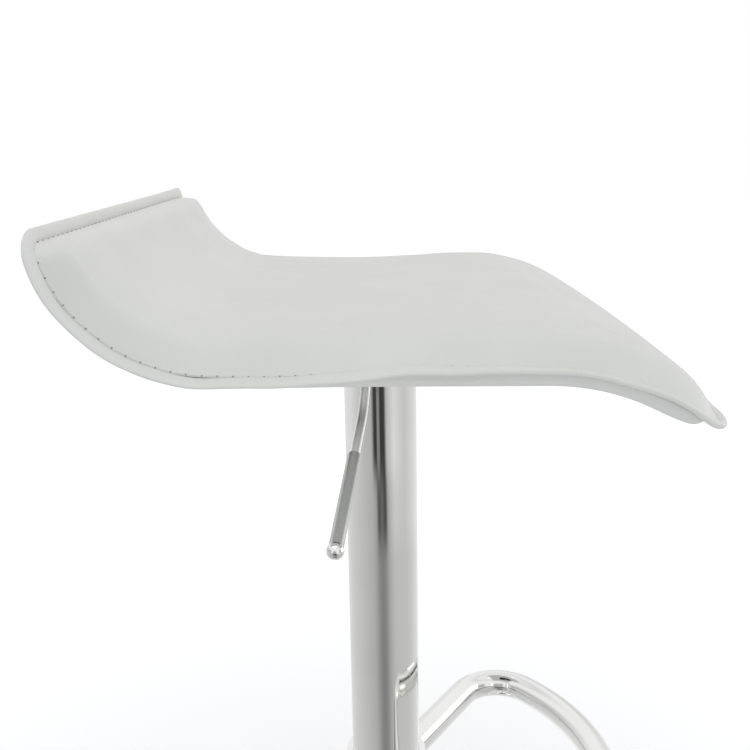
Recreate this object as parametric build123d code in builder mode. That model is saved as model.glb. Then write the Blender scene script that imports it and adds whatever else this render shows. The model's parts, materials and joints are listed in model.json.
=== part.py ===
"""Adjustable swivel bar stool.

A wave-shaped upholstered seat stands on a gas lift, with a release lever under the seat, a footrest loop on
the column and a trumpet base. Millimetres, +Z up, seat front towards +X. The origin lies on the floor, on the
column's axis, and the seat stands at its lowest setting.
"""
import os
from math import asin, cos, degrees, radians, sin, sqrt

from build123d import *

# Seat wave, measured on the seam where the top and bottom covers meet
seam_height = 590.0
seat_width = 380.0
corner_radius = 16.0
back_flat = 85.0
back_radius = 86.0
back_sweep = 82.0
front_flat = 84.0
front_radius = 125.0
front_sweep = 44.0

# Shell and upholstery
core_thickness = 8.0
core_edge_round = 3.0
front_slope_low_inset = 31.0
front_slope_high_inset = 16.5
cover_thickness = 1.2
cover_hem_lift = 0.5
flange_width = 8.0
flange_thickness = 3.4
pad_edge_height = 12.0
pad_crown = 4.0
pad_shoulder = 14.0
pad_shoulder_angles = (10, 25, 45, 65, 90)
pad_crown_shares = (0.8, 0.55, 0.28)

# Seat plate, its pan and its fasteners
plate_size = 150.0
plate_corner = 14.0
plate_thickness = 2.5
pan_radius = 45.0
pan_depth = 12.0
bolt_spacing = 120.0
bolt_radius = 3.0
bolt_length = 12.0
bolt_head_radius = 5.8
bolt_head_height = 4.0
washer_radius = 8.0
washer_thickness = 1.2
tee_barrel_radius = 4.2
tee_barrel_length = 6.0
tee_flange_radius = 9.0
tee_flange_thickness = 1.2

# Hub socket and gas lift
lift_stroke = 210.0
hub_length = 24.0
hub_wall = 7.0
cylinder_radius = 14.0
cylinder_wall = 2.0
cylinder_taper = 0.5
cylinder_top_depth = 2.2
valve_length = 24.0
guide_length = 20.0
seal_length = 6.0
rod_radius = 5.0
stud_radius = 4.0
piston_length = 14.0
piston_ring_height = 3.0
piston_ring_depth = 1.4
piston_stop_gap = 4.0
rod_engagement = 7.0
buffer_radius = 12.0
buffer_height = 20.0
buffer_gap = 2.0

# Thrust bearing at the foot of the piston rod
race_radius = 14.0
race_thickness = 2.5
ball_radius = 2.0
ball_circle_radius = 10.0
ball_count = 10
ball_groove_depth = 0.4
cage_thickness = 1.2
cage_width = 5.6
bearing_seat_low = 40.0
bearing_seat_thickness = 5.0
rod_washer_radius = 11.0
rod_washer_thickness = 1.5
clip_radius = 8.0
clip_thickness = 1.2
clip_slot = 4.0
clip_groove_depth = 1.0
stud_tail = 2.0

# Column
column_radius = 25.0
column_wall = 2.0
column_low = 16.0
column_taper_length = 50.0
column_taper = 1.0
bush_length = 75.0
bush_rim_thickness = 1.5
hub_to_bush_gap = 1.5

# Release lever, which lies in one upright plane through the column's axis
lever_turn = 7.5
lever_radius = 3.0
lever_over_pan = 4.6
lever_tail = 5.0
lever_pivot_reach = 30.0
lever_exit_reach = 50.0
lever_knee_reach = 79.0
lever_knee_drop = 46.5
lever_end_reach = 184.0
lever_end_drop = 92.0
lever_bend_radius = 14.0
lever_knee_radius = 40.0
pivot_radius = 2.0
boss_radius = 4.0
boss_length = 9.0
ear_thickness = 2.0
ear_length = 12.0
lever_window_width = 11.0
lever_window_length = 22.0
grip_length = 71.0
grip_radius = 4.1
knob_radius = 4.8
release_pin_radius = 2.5
release_pin_length = 18.0
release_pin_chamfer = 1.0
lever_free_play = 0.4

# Trumpet base
base_radius = 192.5
base_wall = 2.0
neck_top = 72.0
flare_radius = 45.0
rim_round = 6.0
rim_center_height = 5.2
rim_low = 2.0
floor_ring_width = 9.0
floor_ring_lip_width = 3.6
floor_ring_lip_height = 3.0
socket_wall = 2.9
socket_top_drop = 1.0
socket_flange_radius = 55.0
socket_flange_thickness = 5.0
ballast_low = 3.0
ballast_thickness = 6.0
ballast_rim_gap = 22.0
socket_screw_circle = 42.0
socket_screw_radius = 4.0
socket_screw_head_radius = 7.5
socket_screw_head_height = 5.0
socket_screw_count = 4
socket_screw_start = 45.0
collar_width = 7.0
collar_height = 6.0
collar_round = 2.0

# Footrest
footrest_height = 235.0
footrest_radius = 165.0
footrest_half_angle = 58.0
footrest_bend_radius = 34.0
footrest_tube_radius = 11.0
footrest_tube_wall = 1.5
footrest_start_reach = 15.0
footrest_collar_height = 42.0
footrest_collar_wall = 4.5
collar_screw_radius = 3.0
collar_screw_spacing = 22.0
collar_screw_recess = 1.5

# Clearances and tolerances
seat_gap = 0.1
running_gap = 0.1
cover_gap = 0.2
hole_gap = 0.3
cut_overrun = 1.0
length_tolerance = 0.05

# Heights and reaches that follow from the sizes above
pad_low = core_thickness / 2 + seat_gap
cover_inset = flange_width + seat_gap
core_inset = cover_inset + cover_thickness + cover_gap
bottom_skin_low = -(core_thickness / 2 + seat_gap + cover_thickness)
plate_high = seam_height + bottom_skin_low
plate_low = plate_high - plate_thickness
pan_floor_low = plate_low - pan_depth
pan_floor_high = pan_floor_low + plate_thickness
hub_radius = cylinder_radius + hub_wall
hub_low = pan_floor_high - hub_length
cylinder_top = pan_floor_high - cylinder_top_depth
cylinder_bore = cylinder_radius - cylinder_wall
bush_top = hub_low - hub_to_bush_gap
column_top = bush_top - bush_rim_thickness
column_bore = column_radius - column_wall

lower_race_low = bearing_seat_low + bearing_seat_thickness
ball_height = lower_race_low + race_thickness + ball_radius - ball_groove_depth + seat_gap
upper_race_low = ball_height + ball_radius - ball_groove_depth + seat_gap
upper_race_high = upper_race_low + race_thickness
buffer_high = upper_race_high + buffer_height
cylinder_low = buffer_high + buffer_gap
guide_low = cylinder_low + seat_gap
seal_low = guide_low + guide_length
piston_low = seal_low + seal_length + lift_stroke + piston_stop_gap
rod_top = piston_low + rod_engagement
rod_washer_low = bearing_seat_low - running_gap - rod_washer_thickness
clip_low = rod_washer_low - seat_gap - clip_thickness
stud_low = clip_low - stud_tail

socket_radius = column_radius + running_gap + socket_wall
neck_bore = socket_radius + seat_gap
flare_center = neck_bore + base_wall + flare_radius
dome_top = neck_top - flare_radius
dome_rise = dome_top - rim_round - rim_center_height
dome_reach = base_radius - rim_round - flare_center
dome_radius = (dome_reach**2 + dome_rise**2) / (2 * dome_rise) + rim_round
dome_sweep = degrees(asin(dome_reach / (dome_radius - rim_round)))
ballast_radius = base_radius - ballast_rim_gap
ballast_high = ballast_low + ballast_thickness
footrest_collar_radius = column_radius + running_gap + footrest_collar_wall

lever_height = pan_floor_high + lever_over_pan
lever_bearing = radians(lever_turn)
lever_out = Vector(-sin(lever_bearing), -cos(lever_bearing), 0)
lever_plane = Plane(origin=(0, 0, 0), x_dir=lever_out, z_dir=lever_out.cross(Vector(0, 0, 1)))
lever_end = (lever_end_reach, seam_height - lever_end_drop)
lever_knee = (lever_knee_reach, seam_height - lever_knee_drop)
knob_center = lever_plane.from_local_coords(lever_end)
grip_axis = (knob_center - lever_plane.from_local_coords(lever_knee)).normalized()
release_pin_top = lever_height - lever_radius - lever_free_play


def wave_line(lift, inset):
    """Seat profile a given lift above the seam, stopping short of the flange's edge by the inset."""
    back_angle = back_sweep - degrees(inset / back_radius)
    front_angle = front_sweep - degrees(inset / front_radius)
    back_center = (-back_flat, seam_height + back_radius)
    front_center = (front_flat, seam_height - front_radius)
    back_arc = CenterArc(back_center, back_radius - lift, 270 - back_angle, back_angle)
    Line(back_arc @ 1, (front_flat, seam_height + lift))
    front_arc = CenterArc(front_center, front_radius + lift, 90, -front_angle)
    return back_arc, front_arc


def wave_block(low, high, inset):
    """Block that follows the wave between two lifts, with rounded corners in plan."""
    with BuildPart() as block:
        with BuildSketch(Plane.XZ):
            with BuildLine():
                low_back, low_front = wave_line(low, inset)
                high_back, high_front = wave_line(high, inset)
                Line(low_back @ 0, high_back @ 0)
                Line(low_front @ 1, high_front @ 1)
            make_face()
        extrude(amount=seat_width / 2 - inset, both=True)
        corners = block.edges().filter_by(GeomType.LINE).filter_by(
            lambda edge: abs(edge.length - (high - low)) < length_tolerance
        )
        fillet(corners, corner_radius - inset)
    return block.part


def front_point(lift, inset):
    """Point on the front curve a given lift above the seam, short of the flange's edge by the inset."""
    angle = radians(90 - front_sweep) + inset / front_radius
    reach = front_radius + lift
    return Vector(front_flat + reach * cos(angle), seam_height - front_radius + reach * sin(angle))


def front_relief(depth):
    """Wedge that slopes the shell's front end from below, a given depth under the plywood's own slope."""
    start = front_point(-core_thickness / 2 - depth, front_slope_low_inset)
    end = front_point(core_thickness / 2 - depth, front_slope_high_inset)
    past_end = end + (end - start)
    below = front_point(-front_slope_low_inset, 0)
    with BuildPart() as wedge:
        with BuildSketch(Plane.XZ):
            with BuildLine():
                Polyline(start, past_end, below, close=True)
            make_face()
        extrude(amount=seat_width, both=True)
    return wedge.part


def cushion_section(y, low, high, inset):
    """Slice of the cushion: wave below, lifted wave above, and a soft shoulder at the back and front."""
    with BuildSketch(Plane.XZ.offset(-y)) as section:
        with BuildLine():
            low_back, low_front = wave_line(low, inset)
            top_back, top_front = wave_line(high, inset + pad_shoulder)
            TangentArc(top_back @ 0, low_back @ 0, tangent=-(top_back % 0))
            TangentArc(top_front @ 1, low_front @ 1, tangent=top_front % 1)
        make_face()
    return section.sketch


def cushion(growth, low):
    """Crowned cushion with rounded sides, grown outwards from the foam's own surface."""
    inset = core_inset - growth
    half_width = seat_width / 2 - inset
    crown_half = half_width - pad_shoulder
    corner = corner_radius - inset
    stations = []
    for angle in pad_shoulder_angles:
        rise = pad_edge_height * sin(radians(angle))
        stations.append((crown_half + pad_shoulder * cos(radians(angle)), rise))
    for share in pad_crown_shares:
        stations.append((crown_half * share, pad_edge_height + pad_crown * (1 - share**2)))
    middle = [(0.0, pad_edge_height + pad_crown)]
    slices = [(-y, rise) for y, rise in stations] + middle + stations[::-1]
    sections = []
    for y, rise in slices:
        past_corner = max(0.0, abs(y) - (half_width - corner))
        corner_inset = corner - sqrt(corner**2 - past_corner**2)
        sections.append(cushion_section(y, low, pad_low + rise + growth, inset + corner_inset))
    with BuildPart() as pad:
        loft(sections=sections, ruled=True)
    return pad.part


def ring_section(inner, outer, height):
    """Flat ring about the column's axis."""
    with BuildSketch(Plane.XY.offset(height)) as section:
        Circle(outer)
        Circle(inner, mode=Mode.SUBTRACT)
    return section.sketch


def disc_section(radius, height):
    """Flat disc on the column's axis."""
    with BuildSketch(Plane.XY.offset(height)) as section:
        Circle(radius)
    return section.sketch


def turned_section(*outline):
    """Half section of a turned piece, given as radius and height pairs."""
    with BuildSketch(Plane.XZ) as section:
        with BuildLine():
            Polyline(*outline, close=True)
        make_face()
    return section.sketch


def bolt_circles(radius, height):
    """The four seat bolt positions as circles."""
    with BuildSketch(Plane.XY.offset(height)) as section:
        with GridLocations(bolt_spacing, bolt_spacing, 2, 2):
            Circle(radius)
    return section.sketch


def socket_screw_circles(radius, height):
    """The base screw positions as circles."""
    with BuildSketch(Plane.XY.offset(height)) as section:
        with PolarLocations(socket_screw_circle, socket_screw_count, start_angle=socket_screw_start):
            Circle(radius)
    return section.sketch


def ball_groove():
    """Section of the ring that the bearing balls roll in."""
    with BuildSketch(Plane.XZ) as section:
        with Locations((ball_circle_radius, ball_height)):
            Circle(ball_radius + seat_gap)
    return section.sketch


def collar_screw_circles(radius, reach):
    """The footrest collar's screw positions as circles at the back, facing away from the column."""
    screw_plane = Plane(origin=(-reach, 0, footrest_height), x_dir=(0, 1, 0), z_dir=(-1, 0, 0))
    with BuildSketch(screw_plane) as section:
        with GridLocations(collar_screw_spacing, collar_screw_spacing, 1, 2):
            Circle(radius)
    return section.sketch


def base_curve(depth):
    """Trumpet profile from the neck to the rim, a given depth below the outer skin."""
    flare = CenterArc((flare_center, neck_top), flare_radius + depth, 180, 90)
    CenterArc((flare_center, dome_top - dome_radius), dome_radius - depth, 90, -dome_sweep)
    rim_center = (base_radius - rim_round, rim_center_height)
    rim = CenterArc(rim_center, rim_round - depth, 90 - dome_sweep, dome_sweep - 90)
    edge = Line(rim @ 1, (base_radius - depth, rim_low))
    return flare @ 0, edge @ 1


def core_rims(block):
    """Edges round the shell's top and bottom, without its upright edges and the lines where curves begin."""
    inner_lines = (core_thickness, seat_width - 2 * core_inset)
    return block.edges().filter_by(
        lambda edge: all(abs(edge.length - length) > length_tolerance for length in inner_lines)
    )


# Moulded plywood shell with rounded edges, bored and counterbored for the tee nuts
core_block = wave_block(-core_thickness / 2, core_thickness / 2, core_inset)
core_low = seam_height - core_thickness / 2
core_high = seam_height + core_thickness / 2
tee_recess = tee_flange_thickness + 2 * seat_gap
with BuildPart() as seat_core:
    add(core_block)
    fillet(core_rims(seat_core), core_edge_round)
    extrude(bolt_circles(tee_barrel_radius + seat_gap, core_low), amount=core_thickness, mode=Mode.SUBTRACT)
    extrude(bolt_circles(tee_flange_radius + hole_gap, core_high), amount=-tee_recess, mode=Mode.SUBTRACT)
    add(front_relief(0), mode=Mode.SUBTRACT)

# Foam pad, crowned, with soft shoulders all round
foam_block = cushion(0, pad_low)
with BuildPart() as foam_pad:
    add(foam_block)

# Sewn top cover, a skin over the pad
cover_outside = cushion(cover_gap + cover_thickness, pad_low + cover_hem_lift)
cover_inside = cushion(cover_gap, pad_low - cover_hem_lift)
with BuildPart() as seat_cover:
    add(cover_outside)
    add(cover_inside, mode=Mode.SUBTRACT)

# Bottom cover, a skin under the shell and up its sides
skin_outside = wave_block(bottom_skin_low, core_thickness / 2, cover_inset)
skin_outside -= front_relief(seat_gap + cover_thickness)
skin_inside = wave_block(-core_thickness / 2 - seat_gap, core_thickness, core_inset - cover_gap)
skin_inside -= front_relief(seat_gap)
with BuildPart() as bottom_cover:
    add(skin_outside)
    add(skin_inside, mode=Mode.SUBTRACT)
    extrude(bolt_circles(bolt_radius + hole_gap, plate_high), amount=core_thickness, mode=Mode.SUBTRACT)

# Stitched flange round the edge
flange_high = core_thickness / 2
flange_low = flange_high - flange_thickness
flange_outside = wave_block(flange_low, flange_high, 0)
flange_inside = wave_block(flange_low - cut_overrun, flange_high + cut_overrun, flange_width)
with BuildPart() as edge_flange:
    add(flange_outside)
    add(flange_inside, mode=Mode.SUBTRACT)

# Tee nuts in the shell
tee_flange_low = core_high - seat_gap - tee_flange_thickness
with BuildPart() as tee_nuts:
    extrude(bolt_circles(tee_flange_radius, tee_flange_low), amount=tee_flange_thickness)
    extrude(bolt_circles(tee_barrel_radius, tee_flange_low), amount=-tee_barrel_length)
    tee_bore_low = tee_flange_low - tee_barrel_length
    extrude(bolt_circles(bolt_radius + running_gap, tee_bore_low), amount=core_thickness, mode=Mode.SUBTRACT)

# Washers and bolts that hold the plate to the shell
washer_low = plate_low - washer_thickness
with BuildPart() as bolt_washers:
    extrude(bolt_circles(washer_radius, washer_low), amount=washer_thickness)
    extrude(bolt_circles(bolt_radius + hole_gap, washer_low), amount=washer_thickness, mode=Mode.SUBTRACT)
with BuildPart() as seat_bolts:
    extrude(bolt_circles(bolt_radius, washer_low), amount=bolt_length)
    with BuildSketch(Plane.XY.offset(washer_low)):
        with GridLocations(bolt_spacing, bolt_spacing, 2, 2):
            RegularPolygon(bolt_head_radius, 6)
    extrude(amount=-bolt_head_height)

# Pressed seat plate with a round pan that houses the lever
with BuildPart() as seat_plate:
    with BuildSketch(Plane.XY.offset(plate_low)):
        RectangleRounded(plate_size, plate_size, plate_corner)
    extrude(amount=plate_thickness)
    with BuildSketch(Plane.XY.offset(pan_floor_low)):
        Circle(pan_radius)
    extrude(amount=pan_depth)
    with BuildSketch(Plane.XY.offset(pan_floor_high)):
        Circle(pan_radius - plate_thickness)
    extrude(amount=pan_depth, mode=Mode.SUBTRACT)
    with BuildSketch(Plane.XY.offset(pan_floor_low)):
        Circle(hub_radius + seat_gap)
    extrude(amount=plate_thickness, mode=Mode.SUBTRACT)
    extrude(bolt_circles(bolt_radius + hole_gap, plate_low), amount=plate_thickness, mode=Mode.SUBTRACT)
    with BuildSketch(lever_plane):
        with Locations((pan_radius, (pan_floor_high + plate_low) / 2)):
            Rectangle(lever_window_length, plate_low - pan_floor_high)
    extrude(amount=lever_window_width / 2, both=True, mode=Mode.SUBTRACT)

# Taper socket welded into the pan
socket_bore_top = cylinder_radius - cylinder_taper + seat_gap
with BuildPart() as hub_socket:
    revolve(
        turned_section(
            (cylinder_radius + seat_gap, hub_low),
            (hub_radius, hub_low),
            (hub_radius, pan_floor_high),
            (socket_bore_top, pan_floor_high),
            (socket_bore_top, cylinder_top),
        ),
        axis=Axis.Z,
    )

# Bracket in the pan: two ears that carry the lever's pivot pin
ear_face = boss_length / 2 + seat_gap
ear_high = lever_height + boss_radius
with BuildPart() as lever_bracket:
    for side in (1, -1):
        with BuildSketch(lever_plane.offset(side * ear_face)):
            with Locations((lever_pivot_reach, (pan_floor_high + ear_high) / 2)):
                Rectangle(ear_length, ear_high - pan_floor_high)
        extrude(amount=side * ear_thickness)
    with BuildSketch(lever_plane):
        with Locations((lever_pivot_reach, lever_height)):
            Circle(pivot_radius + seat_gap)
    extrude(amount=ear_face + ear_thickness, both=True, mode=Mode.SUBTRACT)

# Pivot pin through the ears
with BuildPart() as lever_pin:
    with BuildSketch(lever_plane):
        with Locations((lever_pivot_reach, lever_height)):
            Circle(pivot_radius)
    extrude(amount=ear_face + ear_thickness, both=True)

# Lever rod: level in the pan, then bent down and out, with a cross boss on the pivot
with BuildPart() as lever_rod:
    with BuildLine(lever_plane) as lever_path:
        FilletPolyline(
            (-lever_tail, lever_height),
            (lever_exit_reach, lever_height),
            lever_knee,
            lever_end,
            radius=(lever_bend_radius, lever_knee_radius),
        )
    with BuildSketch(Plane(origin=lever_path.line @ 0, z_dir=lever_path.line % 0)):
        Circle(lever_radius)
    sweep()
    with BuildSketch(lever_plane):
        with Locations((lever_pivot_reach, lever_height)):
            Circle(boss_radius)
    extrude(amount=boss_length / 2, both=True)
    with BuildSketch(lever_plane):
        with Locations((lever_pivot_reach, lever_height)):
            Circle(pivot_radius + running_gap)
    extrude(amount=boss_length / 2, both=True, mode=Mode.SUBTRACT)

# Grip sleeve and knob on the rod's end
knob_seat = sqrt(knob_radius**2 - grip_radius**2)
with BuildPart() as lever_grip:
    with BuildSketch(Plane(origin=knob_center - grip_axis * (knob_seat + seat_gap), z_dir=-grip_axis)):
        Circle(grip_radius)
        Circle(lever_radius + seat_gap, mode=Mode.SUBTRACT)
    extrude(amount=grip_length)
with BuildPart() as lever_knob:
    with Locations(knob_center):
        Sphere(knob_radius)
    with BuildSketch(Plane(origin=knob_center - grip_axis * knob_seat, z_dir=-grip_axis)):
        Circle(knob_radius)
    extrude(amount=knob_radius, mode=Mode.SUBTRACT)
    with BuildSketch(Plane(origin=knob_center + grip_axis * seat_gap, z_dir=-grip_axis)):
        Circle(lever_radius + seat_gap)
    extrude(amount=knob_radius, mode=Mode.SUBTRACT)

# Release pin on top of the gas lift's valve
release_pin_low = release_pin_top - release_pin_length
with BuildPart() as release_pin:
    extrude(disc_section(release_pin_radius, release_pin_low), amount=release_pin_length)
    chamfer(release_pin.edges().group_by(Axis.Z)[-1], release_pin_chamfer)

# Gas cylinder with its tapered top
with BuildPart() as gas_cylinder:
    revolve(
        turned_section(
            (cylinder_bore, cylinder_low),
            (cylinder_radius, cylinder_low),
            (cylinder_radius, hub_low),
            (cylinder_radius - cylinder_taper, cylinder_top),
            (cylinder_bore, cylinder_top),
        ),
        axis=Axis.Z,
    )
    chamfer(gas_cylinder.edges().group_by(Axis.Z)[-1].sort_by(SortBy.RADIUS)[-1], cylinder_taper)

# Valve body in the top of the cylinder, bored for the release pin
valve_low = cylinder_top - valve_length
with BuildPart() as valve_body:
    extrude(disc_section(cylinder_bore - seat_gap, valve_low), amount=valve_length)
    extrude(
        disc_section(release_pin_radius + running_gap, cylinder_top),
        amount=-(valve_length - cylinder_wall),
        mode=Mode.SUBTRACT,
    )

# Rod guide and seal in the foot of the cylinder
with BuildPart() as rod_guide:
    extrude(ring_section(rod_radius + running_gap, cylinder_bore - seat_gap, guide_low), amount=guide_length)
with BuildPart() as rod_seal:
    extrude(ring_section(rod_radius + running_gap, cylinder_bore - seat_gap, seal_low), amount=seal_length)

# Piston rod: a shoulder on the thrust bearing, and a stud below with the clip's groove
groove_radius = stud_radius - clip_groove_depth
with BuildPart() as piston_rod:
    revolve(
        turned_section(
            (0, stud_low),
            (stud_radius, stud_low),
            (stud_radius, clip_low - seat_gap),
            (groove_radius, clip_low - seat_gap),
            (groove_radius, clip_low + clip_thickness + seat_gap / 2),
            (stud_radius, clip_low + clip_thickness + seat_gap / 2),
            (stud_radius, upper_race_high),
            (rod_radius, upper_race_high),
            (rod_radius, rod_top),
            (0, rod_top),
        ),
        axis=Axis.Z,
    )

# Piston and its ring
piston_radius = cylinder_bore - hole_gap
ring_low = piston_low + (piston_length - piston_ring_height) / 2
ring_bore = piston_radius - piston_ring_depth
with BuildPart() as piston:
    extrude(disc_section(piston_radius, piston_low), amount=piston_length)
    extrude(disc_section(rod_radius + running_gap, piston_low), amount=rod_engagement, mode=Mode.SUBTRACT)
    extrude(
        ring_section(ring_bore, piston_radius + hole_gap, ring_low),
        amount=piston_ring_height,
        mode=Mode.SUBTRACT,
    )
with BuildPart() as piston_ring:
    extrude(
        ring_section(ring_bore + seat_gap, cylinder_bore - running_gap, ring_low + seat_gap),
        amount=piston_ring_height - 2 * seat_gap,
    )

# Buffer that the cylinder comes down on
with BuildPart() as rubber_buffer:
    extrude(ring_section(rod_radius + seat_gap, buffer_radius, upper_race_high), amount=buffer_height)

# Thrust bearing: two grooved races, the balls and their cage
with BuildPart() as lower_race:
    extrude(ring_section(stud_radius + hole_gap, race_radius, lower_race_low), amount=race_thickness)
    revolve(ball_groove(), axis=Axis.Z, mode=Mode.SUBTRACT)
with BuildPart() as upper_race:
    extrude(ring_section(stud_radius + seat_gap, race_radius, upper_race_low), amount=race_thickness)
    revolve(ball_groove(), axis=Axis.Z, mode=Mode.SUBTRACT)
with BuildPart(Plane.XY.offset(ball_height)) as bearing_balls:
    with PolarLocations(ball_circle_radius, ball_count):
        Sphere(ball_radius)
cage_low = ball_height - cage_thickness / 2
cage_inner = ball_circle_radius - cage_width / 2
cage_outer = ball_circle_radius + cage_width / 2
with BuildPart() as ball_cage:
    extrude(ring_section(cage_inner, cage_outer, cage_low), amount=cage_thickness)
    with BuildSketch(Plane.XY.offset(cage_low)):
        with PolarLocations(ball_circle_radius, ball_count):
            Circle(ball_radius + seat_gap)
    extrude(amount=cage_thickness, mode=Mode.SUBTRACT)

# Washer and clip that keep the rod in the column
with BuildPart() as rod_washer:
    extrude(
        ring_section(stud_radius + seat_gap, rod_washer_radius, rod_washer_low),
        amount=rod_washer_thickness,
    )
with BuildPart() as retaining_clip:
    extrude(ring_section(groove_radius + seat_gap, clip_radius, clip_low), amount=clip_thickness)
    with BuildSketch(Plane.XY.offset(clip_low)):
        with Locations((clip_radius / 2, 0)):
            Rectangle(clip_radius, clip_slot)
    extrude(amount=clip_thickness, mode=Mode.SUBTRACT)

# Column tube, tapered at its foot, with the bearing's seat welded in
with BuildPart() as column_tube:
    revolve(
        turned_section(
            (column_bore, column_low),
            (column_radius - column_taper, column_low),
            (column_radius, column_low + column_taper_length),
            (column_radius, column_top),
            (column_bore, column_top),
        ),
        axis=Axis.Z,
    )
with BuildPart() as bearing_seat:
    extrude(
        ring_section(stud_radius + hole_gap, column_bore - seat_gap, bearing_seat_low),
        amount=bearing_seat_thickness,
    )

# Guide bush in the column's mouth, with a rim over the tube's end
with BuildPart() as guide_bush:
    extrude(
        ring_section(cylinder_radius + running_gap, column_bore - seat_gap, column_top),
        amount=-bush_length,
    )
    extrude(
        ring_section(cylinder_radius + running_gap, column_radius - hole_gap, column_top),
        amount=bush_rim_thickness,
    )

# Trumpet base, a spun sheet
with BuildPart() as base_cover:
    with BuildSketch(Plane.XZ):
        with BuildLine():
            skin_start, skin_end = base_curve(0)
            lining_start, lining_end = base_curve(base_wall)
            Line(skin_start, lining_start)
            Line(skin_end, lining_end)
        make_face()
    revolve(axis=Axis.Z)

# Taper socket for the column, flanged onto the ballast plate
socket_top = neck_top - socket_top_drop
socket_bore = column_radius + seat_gap
socket_ledge = column_low - seat_gap
socket_floor_bore = column_bore - 2 * column_wall
with BuildPart() as base_socket:
    revolve(
        turned_section(
            (socket_floor_bore, ballast_high),
            (socket_flange_radius, ballast_high),
            (socket_flange_radius, ballast_high + socket_flange_thickness),
            (socket_radius, ballast_high + socket_flange_thickness),
            (socket_radius, socket_top),
            (socket_bore, socket_top),
            (socket_bore, column_low + column_taper_length),
            (socket_bore - column_taper, socket_ledge),
            (socket_floor_bore, socket_ledge),
        ),
        axis=Axis.Z,
    )
    extrude(
        socket_screw_circles(socket_screw_radius + hole_gap, ballast_high),
        amount=socket_flange_thickness,
        mode=Mode.SUBTRACT,
    )

# Ballast plate and the screws that hold the socket to it
with BuildPart() as ballast_plate:
    extrude(ring_section(socket_floor_bore, ballast_radius, ballast_low), amount=ballast_thickness)
    extrude(
        socket_screw_circles(socket_screw_radius + seat_gap, ballast_low),
        amount=ballast_thickness,
        mode=Mode.SUBTRACT,
    )
screw_head_low = ballast_high + socket_flange_thickness
with BuildPart() as socket_screws:
    extrude(
        socket_screw_circles(socket_screw_radius, screw_head_low),
        amount=-(socket_flange_thickness + ballast_thickness),
    )
    with BuildSketch(Plane.XY.offset(screw_head_low)):
        with PolarLocations(socket_screw_circle, socket_screw_count, start_angle=socket_screw_start):
            RegularPolygon(socket_screw_head_radius, 6)
    extrude(amount=socket_screw_head_height)

# Floor ring under the rim, with a lip inside it
ring_bore_radius = base_radius - floor_ring_width
lip_outer = base_radius - base_wall - seat_gap
lip_inner = lip_outer - floor_ring_lip_width
lip_high = rim_low + floor_ring_lip_height
with BuildPart() as floor_ring:
    revolve(
        turned_section(
            (ring_bore_radius, 0),
            (base_radius, 0),
            (base_radius, rim_low),
            (lip_outer, rim_low),
            (lip_outer, lip_high),
            (lip_inner, lip_high),
            (lip_inner, rim_low),
            (ring_bore_radius, rim_low),
        ),
        axis=Axis.Z,
    )

# Trim collar where the column enters the trumpet
collar_low = neck_top + seat_gap
with BuildPart() as column_collar:
    extrude(
        ring_section(column_radius + seat_gap, column_radius + collar_width, collar_low),
        amount=collar_height,
    )
    fillet(column_collar.edges().group_by(Axis.Z)[-1].sort_by(SortBy.RADIUS)[-1], collar_round)

# Footrest: a bent tube loop, coped onto a collar on the column
bend_circle = footrest_radius - footrest_bend_radius
bend_angle = degrees(asin(footrest_bend_radius / bend_circle))
arm_length = sqrt(bend_circle**2 - footrest_bend_radius**2)
bar_angle = footrest_half_angle - bend_angle
with BuildPart() as footrest_ring:
    with BuildLine(Plane.XY.offset(footrest_height)) as loop:
        right_start = PolarLine((0, 0), footrest_start_reach, -footrest_half_angle, mode=Mode.PRIVATE) @ 1
        right_arm = PolarLine(right_start, arm_length - footrest_start_reach, -footrest_half_angle)
        bar = CenterArc((0, 0), footrest_radius, -bar_angle, 2 * bar_angle)
        TangentArc(right_arm @ 1, bar @ 0, tangent=right_arm % 1)
        left_start = PolarLine((0, 0), footrest_start_reach, footrest_half_angle, mode=Mode.PRIVATE) @ 1
        left_arm = PolarLine(left_start, arm_length - footrest_start_reach, footrest_half_angle)
        TangentArc(left_arm @ 1, bar @ 1, tangent=left_arm % 1)
    with BuildSketch(Plane(origin=right_arm @ 0, z_dir=right_arm % 0)):
        Circle(footrest_tube_radius)
        Circle(footrest_tube_radius - footrest_tube_wall, mode=Mode.SUBTRACT)
    sweep()
    extrude(
        disc_section(footrest_collar_radius + seat_gap, footrest_height),
        amount=2 * footrest_tube_radius,
        both=True,
        mode=Mode.SUBTRACT,
    )
with BuildPart() as footrest_collar:
    extrude(
        ring_section(column_radius + seat_gap, footrest_collar_radius, footrest_height),
        amount=footrest_collar_height / 2,
        both=True,
    )
    extrude(
        collar_screw_circles(collar_screw_radius + seat_gap, 0),
        amount=footrest_collar_radius,
        mode=Mode.SUBTRACT,
    )

# Set screws that lock the footrest collar
screw_reach = column_radius + seat_gap
with BuildPart() as collar_screws:
    extrude(collar_screw_circles(collar_screw_radius, screw_reach), amount=footrest_collar_wall)
    extrude(
        collar_screw_circles(collar_screw_radius / 2, screw_reach + footrest_collar_wall),
        amount=-collar_screw_recess,
        mode=Mode.SUBTRACT,
    )

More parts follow.
